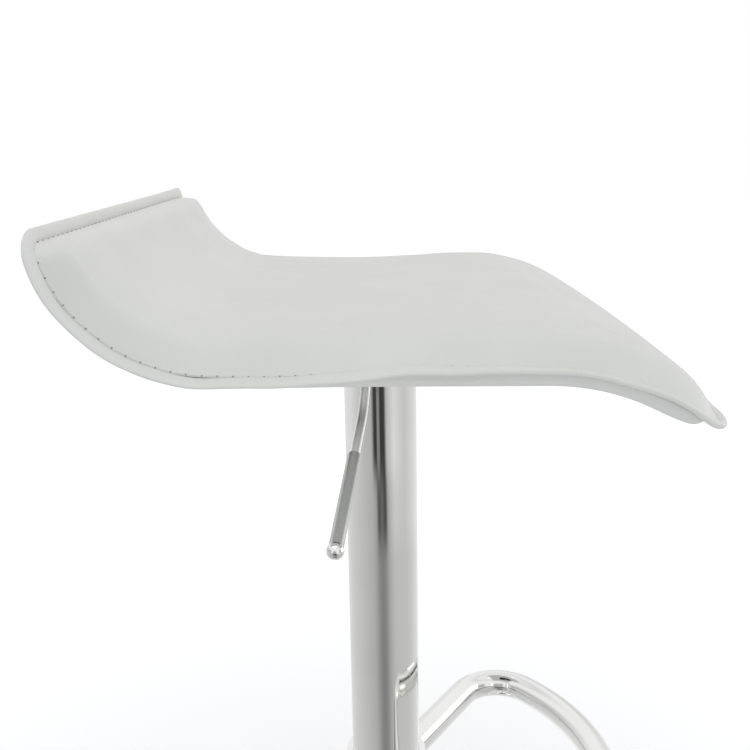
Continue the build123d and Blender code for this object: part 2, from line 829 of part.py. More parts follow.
pieces = {
    "seat_core": seat_core,
    "foam_pad": foam_pad,
    "seat_cover": seat_cover,
    "bottom_cover": bottom_cover,
    "edge_flange": edge_flange,
    "tee_nuts": tee_nuts,
    "seat_bolts": seat_bolts,
    "bolt_washers": bolt_washers,
    "seat_plate": seat_plate,
    "hub_socket": hub_socket,
    "lever_bracket": lever_bracket,
    "lever_pin": lever_pin,
    "lever_rod": lever_rod,
    "lever_grip": lever_grip,
    "lever_knob": lever_knob,
    "release_pin": release_pin,
    "gas_cylinder": gas_cylinder,
    "valve_body": valve_body,
    "rod_guide": rod_guide,
    "rod_seal": rod_seal,
    "piston_rod": piston_rod,
    "piston": piston,
    "piston_ring": piston_ring,
    "rubber_buffer": rubber_buffer,
    "upper_race": upper_race,
    "bearing_balls": bearing_balls,
    "ball_cage": ball_cage,
    "lower_race": lower_race,
    "rod_washer": rod_washer,
    "retaining_clip": retaining_clip,
    "bearing_seat": bearing_seat,
    "guide_bush": guide_bush,
    "column_tube": column_tube,
    "base_cover": base_cover,
    "base_socket": base_socket,
    "ballast_plate": ballast_plate,
    "socket_screws": socket_screws,
    "floor_ring": floor_ring,
    "column_collar": column_collar,
    "footrest_ring": footrest_ring,
    "footrest_collar": footrest_collar,
    "collar_screws": collar_screws,
}
os.makedirs("parts", exist_ok=True)
for name, piece in pieces.items():
    piece.part.label = name
    export_step(piece.part, f"parts/{name}.step")
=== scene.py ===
"""Looks of an adjustable swivel bar stool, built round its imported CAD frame.

The upholstered seat is modelled here: a crowned pad, its stitched flange and the covered shell below it.
The rest keeps its CAD shape and gets its finish. Metres, +Z up, the seat's front towards +X.
"""
import json
from math import cos, hypot, pi, radians, sin

import bmesh
import bpy
import numpy as np
from mathutils import Matrix, Vector


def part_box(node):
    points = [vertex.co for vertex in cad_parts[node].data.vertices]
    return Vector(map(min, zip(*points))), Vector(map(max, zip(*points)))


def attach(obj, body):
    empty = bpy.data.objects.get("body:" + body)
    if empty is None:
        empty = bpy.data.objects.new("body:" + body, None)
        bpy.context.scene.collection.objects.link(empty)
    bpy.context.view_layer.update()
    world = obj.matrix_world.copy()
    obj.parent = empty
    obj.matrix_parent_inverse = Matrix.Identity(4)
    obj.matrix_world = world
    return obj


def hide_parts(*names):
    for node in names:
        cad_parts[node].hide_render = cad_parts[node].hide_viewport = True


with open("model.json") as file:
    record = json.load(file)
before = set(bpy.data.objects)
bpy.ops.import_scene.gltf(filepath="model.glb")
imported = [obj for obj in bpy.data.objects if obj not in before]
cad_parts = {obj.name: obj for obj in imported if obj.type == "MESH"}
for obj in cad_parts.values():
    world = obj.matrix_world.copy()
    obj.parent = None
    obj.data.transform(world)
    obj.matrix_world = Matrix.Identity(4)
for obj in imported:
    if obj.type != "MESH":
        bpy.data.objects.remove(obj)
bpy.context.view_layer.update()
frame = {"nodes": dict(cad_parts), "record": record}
nodes = frame["nodes"]

# Photograph: the fitted camera
PHOTO_PIXELS = 750
FOCAL_PIXELS = 983.87
SENSOR_WIDTH = 36.0
CAMERA_TARGET = Vector((-0.00347, 0.0, 0.54709))
CAMERA_DISTANCE = 0.67712
CAMERA_AZIMUTH = radians(0.533)
CAMERA_ELEVATION = radians(13.796)
CAMERA_ROLL = radians(-1.004)

# Seat wave, as in the CAD model, measured on the line where the covers meet
SEAM_HEIGHT = 0.590
BACK_FLAT = 0.085
BACK_RADIUS = 0.086
BACK_SWEEP = radians(82)
FRONT_FLAT = 0.084
FRONT_RADIUS = 0.125
FRONT_SWEEP = radians(44)
CORNER_RADIUS = 0.016
SEAT_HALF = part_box("edge_flange")[1].y
BACK_LENGTH = BACK_RADIUS * BACK_SWEEP
FLAT_LENGTH = BACK_FLAT + FRONT_FLAT
WAVE_LENGTH = BACK_LENGTH + FLAT_LENGTH + FRONT_RADIUS * FRONT_SWEEP

# Seat mesh: quads along and across, the least corner radius, and how far the cover reaches past the back lip
QUADS_LONG = 96
QUADS_SHORT = 92
SMOOTH_LEVELS = 1
INNER_CORNER = 0.006
BACK_REACH = 0.0022

# Stitch line: its inset from the edge, and its height above the wave at a few arc lengths
STITCH_INSET = 0.0072
STITCH_LINE = (
    (0.0, 0.0022), (0.115, 0.0026), (0.150, 0.0015), (0.190, 0.0030), (0.220, 0.0054), (0.268, 0.0055),
    (0.310, 0.0037), (0.340, 0.0039), (0.365, 0.0054), (0.377, 0.0060), (0.388, 0.0088),
)

# The flange gets narrower towards the front: by how much of its width, and between which arc lengths
NARROWING = 0.55
NARROW_SPAN = (0.19, 0.30)
FRONT_SHIFT = STITCH_INSET * NARROWING

# Pad: the height of its top above the wave at a few arc lengths, its crown, and its lean at the front
PAD_LINE = (
    (0.0, 0.0192), (0.06, 0.0214), (0.12, 0.0205), (0.20, 0.0188), (0.265, 0.0202), (0.32, 0.0184),
    (0.388, 0.0135),
)
PAD_CROWN = 0.0022
FRONT_LEAN = 0.0032
LEAN_START = 0.30
LEAN_FULL = 0.37

# Pad's edges: the width of the border, its share of the height and the width of the round above it
SIDE_BORDER = ((0.0, 0.0070), (0.06, 0.0095), (0.13, 0.0133), (0.388, 0.0133))
SIDE_EDGE = (0.90, 0.014)
BACK_EDGE = (0.0045, 0.86, 0.010)
FRONT_EDGE = (0.0133, 0.70, 0.022)
BORDER_BULGE = 1.15
SMALLEST_DISTANCE = 1e-9

# Rings of the pad's mesh from the stitch line inwards, closer together at the stitches
RIM_WIDTH = 0.0415
RIM_RINGS = 14
RIM_CROWDING = 1.7

# Pad's hidden underside: its rings from the plywood core up to the stitch line
CORE_HIGH = 0.004
CORE_GAP = 0.00015
UNDER_INSET = 0.0125
UNDER_HEIGHT = CORE_HIGH + CORE_GAP
MIDDLE_INSET = 0.0103
MIDDLE_HEIGHT = 0.0033
TUCK_WIDTH = 0.0002
TUCK_DEPTH = 0.0012

# Cloth: how far the pad may swell, the air pressure, the frames it takes and the outer rings sewn down
SWELL_CAP = 0.0022
SWELL_PRESSURE = 20.0
SWELL_FRAMES = 12
SEWN_RINGS = 5

# Stitched flange round the edge: its section, and its drop below the stitch line at a few arc lengths
FLANGE_HALF_WIDTH = 0.0046
FLANGE_HALF_THICKNESS = 0.0016
FLANGE_ROUNDNESS = 2.15
FLANGE_POINTS = 28
FLANGE_DROP = (
    (0.0, 0.0014), (0.145, 0.0014), (0.19, 0.0005), (0.30, 0.0004), (0.335, 0.0002), (0.36, 0.0008),
    (0.388, 0.0012),
)

# Flange's slope down and out along the sides, its swell at the front, its waves and its curls
FLANGE_SLOPE = 0.32
SLOPE_SPAN = (0.22, 0.33)
FRONT_SWELL = 0.45
SWELL_START = 0.365
FLANGE_WAVER = 0.00025
WAVER_LENGTHS = (0.043, 0.071)
WAVER_OFFSET = 1
FRONT_LIFT = 0.003
LIFT_START = 0.375
LIFT_CORNER = (0.004, 0.030)
BACK_CURL = (0.0012, 0.0030)
CURL_START = 0.11
CURL_DEPTH = 0.03

# Covered shell: the skin follows the rounded plywood, up to a hem under the flange
SHELL_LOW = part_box("seat_plate")[1].z - SEAM_HEIGHT
SHELL_INSET = 0.0081
SHELL_SKIN = 0.0011
SHELL_ROUND = 0.0043
SHELL_ROUND_POINTS = 10
HEM_START = 0.0008
HEM_GAP = 0.0002
HEM_SPREAD = 0.3

# Shell's front end: how far it is drawn in and slopes up, and between which arc lengths
SHELL_FRONT_INSET = 0.0018
SHELL_SQUEEZE = (0.30, 0.38)
SHELL_SLOPE_RISE = 0.0036
SHELL_SLOPE_SPAN = (0.352, 0.3752)

# Painted reflections for the chrome: glowing greys of a studio's floor, far to near, and wall, by degrees
# from the camera, which only mirrors see; the dark bands towards the camera paint a dark reflection and the
# bright wall bands paint reflected lamps
FAR_REFLECTION_GREYS = (
    (-180, 0.86), (-110, 0.82), (-60, 0.58), (-31, 0.51), (-22, 0.05), (-15, 0.04), (-11, 0.28), (-7, 0.28),
    (-2, 0.04), (10, 0.06), (17, 0.55), (40, 0.82), (78, 0.66), (135, 0.86), (180, 1.0),
)
MID_REFLECTION_GREYS = (
    (-180, 0.86), (-60, 0.57), (-29, 0.48), (-18, 0.38), (-12, 0.12), (-8, 0.10), (0, 0.16), (9, 0.07),
    (13, 0.12), (19, 0.43), (29, 0.56), (40, 0.68), (78, 0.64), (135, 0.86), (180, 1.0),
)
NEAR_REFLECTION_GREYS = (
    (-180, 0.86), (-60, 0.57), (-29, 0.48), (-19, 0.385), (-9, 0.28), (0, 0.245), (9, 0.28), (19, 0.41),
    (29, 0.51), (40, 0.58), (90, 0.62), (180, 1.0),
)
REFLECTION_BLENDS = ((0.92, 1.12), (1.22, 1.55))
WALL_REFLECTION_GREYS = (
    (-180, 0.86), (-150, 0.92), (-118, 0.72), (-92, 0.58), (-70, 0.52), (-54, 0.42), (-46, 0.95),
    (-24, 0.95), (-15, 0.10), (12, 0.10), (22, 0.95), (48, 0.95), (57, 0.42), (76, 0.52), (100, 0.74),
    (132, 0.92), (158, 0.74), (180, 1.0),
)
WALL_TOP_REFLECTION_GREYS = ((-180, 1.0), (180, 1.0))
WALL_FADE = (0.9, 2.4)
CEILING_REFLECTION_GREYS = ((0.0, 0.98), (0.32, 0.95), (0.55, 0.82), (1.0, 1.0))

# Size of the studio that only mirrors see, painted as reflections, and where its floor starts outside the
# base
ROOM_REACH = 3.2
ROOM_HEIGHT = 3.2
ROOM_STEPS = 96
ROOM_FLOOR_HEIGHT = 0.001
BASE_GAP = 0.008
ROOM_FLOOR_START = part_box("base_cover")[1].x + BASE_GAP

# Pale floor, with a glow of its own: weaker near the stool, which paints a soft shadow pool round it, and
# stronger far off where the lamps no longer reach
FLOOR_SIZE = 8.0
FLOOR_COLOUR = (0.95, 0.95, 0.95, 1)
FLOOR_ROUGHNESS = 0.9
FLOOR_GLOW = (0.22, 0.46)
FLOOR_GLOW_REACH = (0.3, 1.3)

# Light: the soft surroundings, and lamps by name, place, target, width, watts and colour
SKY_COLOUR = (0.935, 0.965, 1.0, 1)
SKY_STRENGTH = 0.66
LAMPS = (
    ("key", (-0.3, -0.4, 2.4), (0, 0, 0.6), 1.8, 7.8, (1.0, 0.97, 0.86)),
    ("fill", (0.2, -2.4, 0.55), (0, 0, 0.58), 1.8, 3.8, (0.88, 0.95, 1.0)),
    ("side", (2.2, 0.4, 0.72), (0, 0, 0.6), 1.4, 10.5, (1.0, 0.985, 0.97)),
)

# Thread: one stitch's length, and its arch as shares of that length with heights over the border
STITCH_LENGTH = 0.0078
SEAM_POINTS_PER_QUAD = 8
THREAD_RADIUS = 0.00028
THREAD_SIDES = 6
THREAD_ARCH = ((0.06, -0.0006), (0.16, -0.0001), (0.5, 0.0), (0.84, -0.0001), (0.94, -0.0006))

# Needle holes: rings of a dished mark, as shares of its radius with heights over the border
HOLE_RADIUS = 0.00043
HOLE_SIDES = 10
HOLE_RINGS = ((1.0, 0.0002), (0.55, 0.0), (1.0, -0.0006))
HOLE_INSET = 0.0002
HOLE_LEAN = radians(50)
FACING_SIDEWAYS = 0.9


def wave(s):
    """Points and upward normals of the wave in the XZ plane, at arc lengths s from the back lip's edge."""
    back = (BACK_LENGTH - s) / BACK_RADIUS
    front = (s - BACK_LENGTH - FLAT_LENGTH) / FRONT_RADIUS
    angle = np.where(back > 0, back, np.maximum(front, 0))
    flat = np.clip(s - BACK_LENGTH, 0, FLAT_LENGTH) - BACK_FLAT
    x = flat + np.where(back > 0, -BACK_RADIUS, FRONT_RADIUS) * np.sin(angle)
    z = SEAM_HEIGHT + np.where(back > 0, BACK_RADIUS, -FRONT_RADIUS) * (1 - np.cos(angle))
    return x, z, np.sin(angle), np.cos(angle)


def on_seat(s, y, height):
    """Points at arc lengths s and widths y of the unrolled seat, a height above the wave."""
    x, z, normal_x, normal_z = wave(s)
    return np.stack([x + height * normal_x, y + 0 * s, z + height * normal_z], axis=-1)


def smooth_step(value, low, high):
    """Eases from 0 at a low value to 1 at a high one."""
    share = np.clip((value - low) / (high - low), 0, 1)
    return share * share * (3 - 2 * share)


def through(points, value):
    """A smooth curve through a few points, as its heights at some places."""
    places, heights = np.array(points).T
    slopes = np.gradient(heights, places)
    i = np.clip(np.searchsorted(places, value) - 1, 0, len(places) - 2)
    step = places[i + 1] - places[i]
    t = np.clip((value - places[i]) / step, 0, 1)
    start = (1 + 2 * t) * (1 - t) ** 2 * heights[i] + t * (1 - t) ** 2 * step * slopes[i]
    return start + t * t * (3 - 2 * t) * heights[i + 1] + t * t * (t - 1) * step * slopes[i + 1]


def outline(inset, count_long=QUADS_LONG, count_short=QUADS_SHORT):
    """Rounded rectangle on the unrolled seat, inset from the flange's edge, as arc lengths and widths."""
    radius = max(CORNER_RADIUS - inset, INNER_CORNER)
    halves = ((WAVE_LENGTH + BACK_REACH) / 2 - inset, SEAT_HALF - inset)
    points = []
    for side in range(4):
        along, across = halves[side % 2], halves[1 - side % 2]
        count = (count_long, count_short)[side % 2]
        straight = along - radius
        length = 2 * straight + pi * radius / 2
        place = length * (np.arange(count) / count - 0.5)
        past = np.maximum(np.abs(place) - straight, 0) / radius
        u = np.sign(place) * (np.minimum(np.abs(place), straight) + radius * np.sin(past))
        v = -across + radius * (1 - np.cos(past))
        turn = side * pi / 2
        points.append(np.stack([u * cos(turn) - v * sin(turn), u * sin(turn) + v * cos(turn)], axis=-1))
    plan = np.concatenate(points)
    return plan[:, 0] + (WAVE_LENGTH - BACK_REACH) / 2, plan[:, 1]


def narrowed(inset, front_inset, *counts):
    """An outline whose inset becomes another one towards the front."""
    s, y = outline(inset, *counts)
    front_s, front_y = outline(front_inset, *counts)
    share = smooth_step(s, *NARROW_SPAN)
    return s + (front_s - s) * share, y + (front_y - y) * share


def seam_outline(inset, *counts):
    """An outline that keeps its distance to the stitch line."""
    return narrowed(inset, inset - FRONT_SHIFT, *counts)


def seam_inset(s):
    """How far the stitch line lies in from the flange's edge."""
    return STITCH_INSET - FRONT_SHIFT * smooth_step(s, *NARROW_SPAN)


def inner_grid(ring):
    """Coons patch that fills a ring of plan points, as a grid of plan points."""
    long, short = QUADS_LONG, QUADS_SHORT
    ring = np.concatenate([ring, ring[:1]])
    near = ring[:long + 1]
    front = ring[long:long + short + 1]
    far = ring[long + short:2 * long + short + 1][::-1]
    back = ring[2 * long + short:][::-1]
    u = np.linspace(0, 1, long + 1)[:, None, None]
    v = np.linspace(0, 1, short + 1)[None, :, None]
    sides = (1 - v) * near[:, None] + v * far[:, None] + (1 - u) * back[None] + u * front[None]
    corners = (1 - u) * ((1 - v) * near[0] + v * far[0]) + u * ((1 - v) * near[-1] + v * far[-1])
    return sides - corners


def grid_border():
    """Grid places of a ring's points, in the ring's order."""
    long, short = QUADS_LONG, QUADS_SHORT
    near = [(i, 0) for i in range(long)]
    front = [(long, j) for j in range(short)]
    far = [(i, short) for i in range(long, 0, -1)]
    back = [(0, j) for j in range(short, 0, -1)]
    return near + front + far + back


def new_piece(name, vertices, faces, body="seat"):
    """A mesh object with outward normals and smooth shading, riding on a body."""
    mesh = bpy.data.meshes.new(name)
    mesh.from_pydata([tuple(v) for v in vertices], [], faces)
    work = bmesh.new()
    work.from_mesh(mesh)
    bmesh.ops.recalc_face_normals(work, faces=work.faces)
    work.to_mesh(mesh)
    work.free()
    mesh.shade_smooth()
    piece = bpy.data.objects.new(name, mesh)
    bpy.context.scene.collection.objects.link(piece)
    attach(piece, body)
    return piece


def smooth(piece):
    """Rounds a piece as a subdivision surface."""
    modifier = piece.modifiers.new("smooth", "SUBSURF")
    modifier.levels = SMOOTH_LEVELS
    modifier.render_levels = SMOOTH_LEVELS


def ring_faces(count, around, closed=False):
    """Quads between neighbouring rings of points, and from the last ring to the first where closed."""
    faces = []
    for ring in range(count if closed else count - 1):
        low, high = ring * around, (ring + 1) % count * around
        for i in range(around):
            j = (i + 1) % around
            faces.append((low + i, low + j, high + j, high + i))
    return faces


def capped(rings, first_grid, last_grid):
    """Vertices and faces of rings closed by a grid of points at each end."""
    around = len(rings[0])
    vertices = [point for ring in rings for point in ring]
    faces = ring_faces(len(rings), around)
    for grid, start in ((first_grid, 0), (last_grid, (len(rings) - 1) * around)):
        place = {key: start + i for i, key in enumerate(grid_border())}
        for i in range(1, QUADS_LONG):
            for j in range(1, QUADS_SHORT):
                place[i, j] = len(vertices)
                vertices.append(grid[i, j])
        for i in range(QUADS_LONG):
            for j in range(QUADS_SHORT):
                faces.append((place[i, j], place[i + 1, j], place[i + 1, j + 1], place[i, j + 1]))
    return vertices, faces


def stitch_height(s):
    """Height of the stitch line above the wave."""
    return through(STITCH_LINE, s)


def edge_rise(distance, border, share, rounding):
    """Share of the pad's height at a distance from a stitched edge: a sloping border, a round shoulder."""
    slope = np.clip(distance / border, 0, 1)
    shoulder = np.clip((distance - border) / rounding, 0, 1)
    return share * (1 - (1 - slope) ** BORDER_BULGE) + (1 - share) * (1 - (1 - shoulder) ** 2)


def round_corner(first, second, radius):
    """Distances from two stitched edges, made shorter near their corner so that it is round."""
    within = radius - np.hypot(np.maximum(radius - first, 0), np.maximum(radius - second, 0))
    nearest = np.minimum(np.minimum(first, second), radius)
    share = np.clip(within / np.maximum(nearest, SMALLEST_DISTANCE), 0, 1)
    return first * share, second * share


def pad_height(s, y):
    """Height of the pad's surface above the wave."""
    crown = PAD_CROWN * (1 - (y / SEAT_HALF) ** 2)
    lean = FRONT_LEAN * y / SEAT_HALF * smooth_step(s, LEAN_START, LEAN_FULL)
    top = through(PAD_LINE, s) + crown - lean
    radius = CORNER_RADIUS - STITCH_INSET
    side = SEAT_HALF - seam_inset(s) - np.abs(y)
    side, back = round_corner(side, s + BACK_REACH - STITCH_INSET, radius)
    side, front = round_corner(side, WAVE_LENGTH - STITCH_INSET + FRONT_SHIFT - s, radius + FRONT_SHIFT)
    rise = edge_rise(side, through(SIDE_BORDER, s), *SIDE_EDGE)
    rise = rise * edge_rise(back, *BACK_EDGE) * edge_rise(front, *FRONT_EDGE)
    low = stitch_height(s)
    return low + (top - low) * rise


def coordinates(mesh):
    """A mesh's points as rows."""
    flat = np.empty(len(mesh.vertices) * 3)
    mesh.vertices.foreach_get("co", flat)
    return flat.reshape(-1, 3)


def swell(piece, held):
    """Swells a cover under air pressure, held points sewn down: outwards, as foam backs it, to a cap."""
    start = coordinates(piece.data)
    normals = np.empty(len(start) * 3)
    piece.data.vertices.foreach_get("normal", normals)
    normals = normals.reshape(-1, 3)
    sewn = piece.vertex_groups.new(name="sewn")
    sewn.add(held, 1.0, "REPLACE")
    cloth = piece.modifiers.new("swell", "CLOTH")
    cloth.settings.vertex_group_mass = sewn.name
    cloth.settings.use_pressure = True
    cloth.settings.uniform_pressure_force = SWELL_PRESSURE
    cloth.settings.effector_weights.gravity = 0
    cloth.point_cache.frame_end = SWELL_FRAMES
    for step in range(1, SWELL_FRAMES + 1):
        bpy.context.scene.frame_set(step)
    view = bpy.context.evaluated_depsgraph_get()
    moved = coordinates(piece.evaluated_get(view).data) - start
    piece.modifiers.remove(cloth)
    piece.vertex_groups.remove(sewn)
    bpy.context.scene.frame_set(1)
    distance = np.maximum(np.sum(moved * normals, axis=1, keepdims=True), 0)
    swollen = start + normals * SWELL_CAP * np.tanh(distance / SWELL_CAP)
    piece.data.vertices.foreach_set("co", swollen.ravel())
    piece.data.update()


def make_pad():
    """The seat pad: a closed crowned form, sewn down along the stitch line."""
    rings = []
    under_s, under_y = outline(UNDER_INSET)
    rings.append(on_seat(under_s, under_y, UNDER_HEIGHT))
    middle_s, middle_y = outline(MIDDLE_INSET)
    rings.append(on_seat(middle_s, middle_y, MIDDLE_HEIGHT))
    tuck_s, tuck_y = seam_outline(STITCH_INSET - TUCK_WIDTH)
    rings.append(on_seat(tuck_s, tuck_y, stitch_height(tuck_s) - TUCK_DEPTH))
    for inset in STITCH_INSET + RIM_WIDTH * np.linspace(0, 1, RIM_RINGS) ** RIM_CROWDING:
        s, y = seam_outline(inset)
        rings.append(on_seat(s, y, pad_height(s, y)))
    under = inner_grid(np.stack([under_s, under_y], axis=-1))
    top = inner_grid(np.stack([s, y], axis=-1))
    first = on_seat(under[..., 0], under[..., 1], UNDER_HEIGHT)
    last = on_seat(top[..., 0], top[..., 1], pad_height(top[..., 0], top[..., 1]))
    vertices, faces = capped(rings, first, last)
    pad = new_piece("seat_pad", vertices, faces)
    around = len(rings[0])
    under_start = len(rings) * around
    under_end = under_start + (QUADS_LONG - 1) * (QUADS_SHORT - 1)
    swell(pad, [*range(SEWN_RINGS * around), *range(under_start, under_end)])
    smooth(pad)
    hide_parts("foam_pad", "seat_cover")
    return pad


def front_lift(s, y):
    """How far the flange curls up along the front edge, clear of its corners."""
    clear = smooth_step(SEAT_HALF - np.abs(y), *LIFT_CORNER)
    return FRONT_LIFT * smooth_step(s, LIFT_START, WAVE_LENGTH) * clear


def outward(s, y):
    """Unit steps out of a closed line on the unrolled seat, along it and across it."""
    along_s = np.roll(s, -1) - np.roll(s, 1)
    along_y = np.roll(y, -1) - np.roll(y, 1)
    length = np.hypot(along_s, along_y)
    return along_y / length, -along_s / length


def back_curl(s, y):
    """How far the flange's far back corner stands past the lip, and how far it leans in over the pad."""
    share = smooth_step(y, CURL_START, SEAT_HALF) * (1 - smooth_step(s, 0, CURL_DEPTH))
    return BACK_CURL[0] * share, BACK_CURL[1] * share


def make_flange():
    """The stitched flange: a flattened roll round the seat's edge, a little wavy as sewn edges are."""
    s, y = outline(0)
    line = on_seat(s, y, 0)
    reach = np.cumsum(np.linalg.norm(np.roll(line, -1, axis=0) - line, axis=1))
    turns = [2 * pi * reach / reach[-1] * round(reach[-1] / length) for length in WAVER_LENGTHS]
    waver = FLANGE_WAVER * (np.sin(turns[0]) + np.sin(turns[1] + WAVER_OFFSET))
    rings = []
    for turn in np.linspace(0, 2 * pi, FLANGE_POINTS, endpoint=False):
        across = np.sign(cos(turn)) * abs(cos(turn)) ** (2 / FLANGE_ROUNDNESS)
        upward = np.sign(sin(turn)) * abs(sin(turn)) ** (2 / FLANGE_ROUNDNESS)
        inset = FLANGE_HALF_WIDTH * (1 - across)
        s, y = narrowed(inset, inset * (1 - NARROWING))
        sideways = outward(s, y)[1] ** 2 * (1 - smooth_step(s, *SLOPE_SPAN))
        drop = through(FLANGE_DROP, s) + FLANGE_SLOPE * sideways * max(STITCH_INSET - inset, 0)
        middle = stitch_height(s) - drop + front_lift(s, y) + waver
        half = FLANGE_HALF_THICKNESS * (1 + FRONT_SWELL * smooth_step(s, SWELL_START, WAVE_LENGTH))
        past, lean = back_curl(s, y)
        rings.append(on_seat(s - past, y, middle + half * upward + lean))
    vertices = [point for ring in rings for point in ring]
    faces = ring_faces(len(rings), len(rings[0]), closed=True)
    flange = new_piece("edge_welt", vertices, faces)
    smooth(flange)
    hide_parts("edge_flange")
    return flange


def shell_outline(inset):
    """An outline of the shell: its sides follow the stitch line and its front end is drawn in."""
    s, y = seam_outline(inset)
    return s - (SHELL_FRONT_INSET + FRONT_SHIFT) * smooth_step(s, *SHELL_SQUEEZE), y


def shell_rise(s):
    """How far the shell's underside slopes up at the front end."""
    start, end = SHELL_SLOPE_SPAN
    return SHELL_SLOPE_RISE * np.maximum((s - start) / (end - start), 0) ** 2


def make_shell():
    """The covered shell: a skin up the plywood's side, round its edge and across its underside."""
    rings = []
    round_inset = SHELL_INSET + SHELL_ROUND
    round_height = SHELL_LOW + SHELL_ROUND
    hem_low = round_height + HEM_START
    turns = np.linspace(0, pi / 2, SHELL_ROUND_POINTS)
    for radius, up_inside in ((SHELL_ROUND - SHELL_SKIN, True), (SHELL_ROUND, False)):
        section = [(round_inset - radius, None), (round_inset - radius, hem_low)]
        section += [(round_inset - radius * cos(a), round_height - radius * sin(a)) for a in turns]
        for inset, height in section[::-1] if up_inside else section:
            s, y = shell_outline(inset)
            top = stitch_height(s) - through(FLANGE_DROP, s) - FLANGE_HALF_THICKNESS / 2
            if height is None:
                height = top
            else:
                limit = top - (hem_low - height) * HEM_SPREAD - HEM_GAP
                height = np.minimum(height + shell_rise(s), limit)
            rings.append(on_seat(s, y, height))
    plan = inner_grid(np.stack(shell_outline(round_inset), axis=-1))
    ends = []
    for height in (SHELL_LOW + SHELL_SKIN, SHELL_LOW):
        ends.append(on_seat(plan[..., 0], plan[..., 1], height + shell_rise(plan[..., 0])))
    vertices, faces = capped(rings, *ends)
    shell = new_piece("shell_cover", vertices, faces)
    smooth(shell)
    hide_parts("bottom_cover")
    return shell


def stitch_places():
    """Needle holes along the stitch line, evenly spaced: places on the border and the way they face."""
    counts = (QUADS_LONG * SEAM_POINTS_PER_QUAD, QUADS_SHORT * SEAM_POINTS_PER_QUAD)
    s, y = seam_outline(STITCH_INSET + HOLE_INSET, *counts)
    line = on_seat(s, y, pad_height(s, y))
    normal_x, normal_z = wave(s)[2:]
    out_s, out_y = outward(s, y)
    sideways = np.stack([out_s * normal_z, out_y, -out_s * normal_x], axis=-1)
    upward = np.stack([normal_x, 0 * s, normal_z], axis=-1)
    facing = cos(HOLE_LEAN) * upward + sin(HOLE_LEAN) * sideways
    steps = np.linalg.norm(np.roll(line, -1, axis=0) - line, axis=1)
    reach = np.concatenate([[0], np.cumsum(steps)])
    count = round(reach[-1] / STITCH_LENGTH)
    marks = np.linspace(0, reach[-1], count, endpoint=False)
    loop = np.concatenate([line, line[:1]])
    loop_facing = np.concatenate([facing, facing[:1]])
    places = np.stack([np.interp(marks, reach, loop[:, k]) for k in range(3)], axis=-1)
    ups = np.stack([np.interp(marks, reach, loop_facing[:, k]) for k in range(3)], axis=-1)
    return places, ups / np.linalg.norm(ups, axis=1, keepdims=True)


def make_thread(places, ups):
    """Thread: one arched stitch from each needle hole to the next."""
    vertices, faces = [], []
    for i in range(len(places)):
        j = (i + 1) % len(places)
        along = (places[j] - places[i]) / np.linalg.norm(places[j] - places[i])
        across = np.cross(along, ups[i])
        start = len(vertices)
        for share, lift in THREAD_ARCH:
            middle = places[i] + (places[j] - places[i]) * share + ups[i] * lift
            for k in range(THREAD_SIDES):
                turn = 2 * pi * k / THREAD_SIDES
                vertices.append(middle + THREAD_RADIUS * (cos(turn) * across + sin(turn) * ups[i]))
        end = len(vertices) - THREAD_SIDES
        faces += [tuple(start + f for f in face) for face in ring_faces(len(THREAD_ARCH), THREAD_SIDES)]
        faces.append(tuple(range(start, start + THREAD_SIDES)))
        faces.append(tuple(range(end, end + THREAD_SIDES)))
    return new_piece("seam_thread", vertices, faces)


def make_needle_holes(places, ups):
    """Needle holes: small dished marks where the thread goes in, dark with painted shade."""
    vertices, faces = [], []
    for place, up in zip(places, ups):
        along = np.array((1.0, 0.0, 0.0))
        if abs(up[1]) < FACING_SIDEWAYS:
            along = np.cross(up, (0.0, 1.0, 0.0))
        along = along / np.linalg.norm(along)
        across = np.cross(up, along)
        start = len(vertices)
        for share, lift in HOLE_RINGS:
            for k in range(HOLE_SIDES):
                turn = 2 * pi * k / HOLE_SIDES
                out = cos(turn) * along + sin(turn) * across
                vertices.append(place + HOLE_RADIUS * share * out + up * lift)
        around = ring_faces(len(HOLE_RINGS), HOLE_SIDES, closed=True)
        faces += [tuple(start + f for f in face) for face in around]
    return new_piece("needle_holes", vertices, faces)


